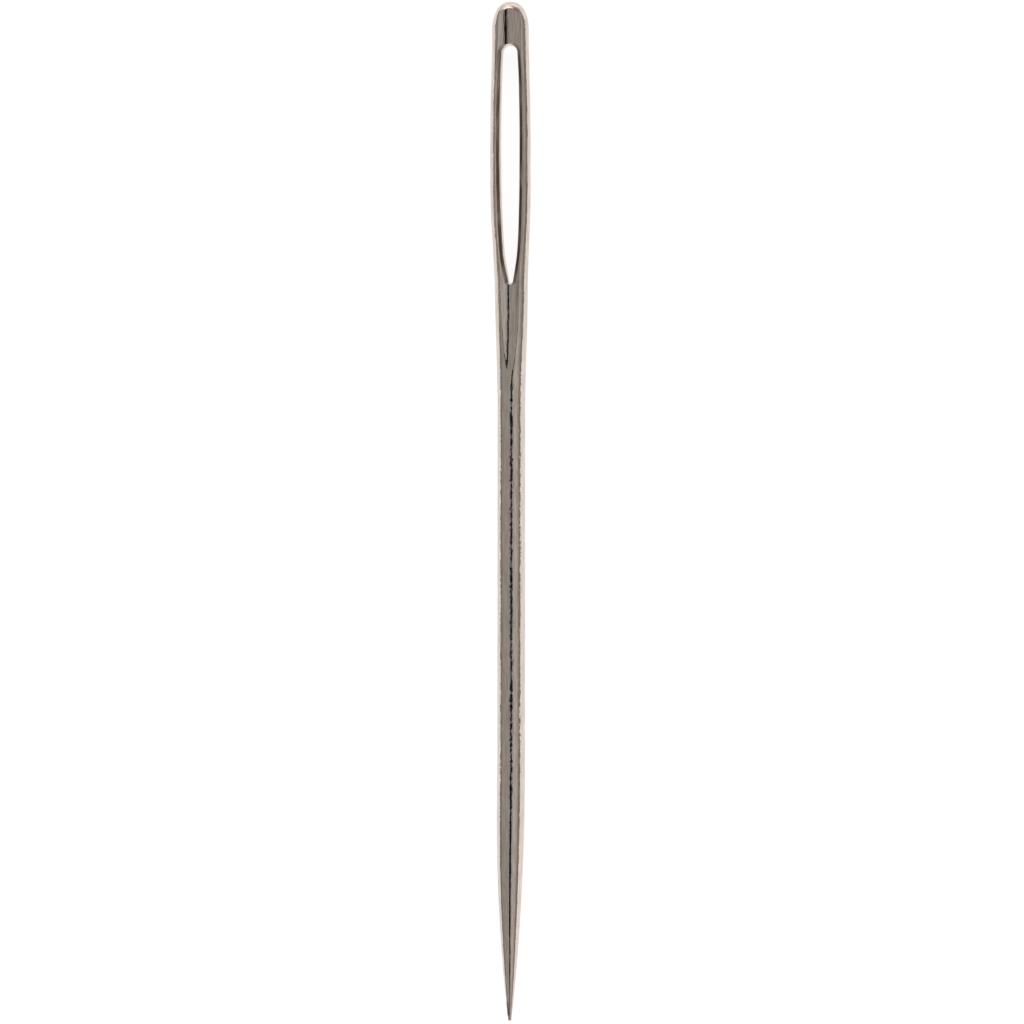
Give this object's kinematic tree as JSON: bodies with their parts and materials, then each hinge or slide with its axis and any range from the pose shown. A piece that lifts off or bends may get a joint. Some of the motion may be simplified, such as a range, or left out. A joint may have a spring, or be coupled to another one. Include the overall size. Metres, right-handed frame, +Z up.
{
  "type": "yarn needle",
  "caption": "Round-shafted steel needle with a long tapered point and a long drop-shaped eye in a flattened, guttered end, for carrying yarn.",
  "frame": {"origin": "mid-length of the needle, on the surface its round shaft rests on", "axes": "+Y along the needle towards the eye, so the point is at -Y; +Z up, square to the flattened eye's faces; X across the eye"},
  "size_m": [0.003, 0.0736, 0.002],
  "materials": {
    "nickel_plated_steel": "polished"
  },
  "bodies": {
    "root": {"head": "nickel_plated_steel", "left_limb": "nickel_plated_steel", "right_limb": "nickel_plated_steel", "neck": "nickel_plated_steel", "shaft": "nickel_plated_steel", "point": "nickel_plated_steel"}
  },
  "joints": []
}
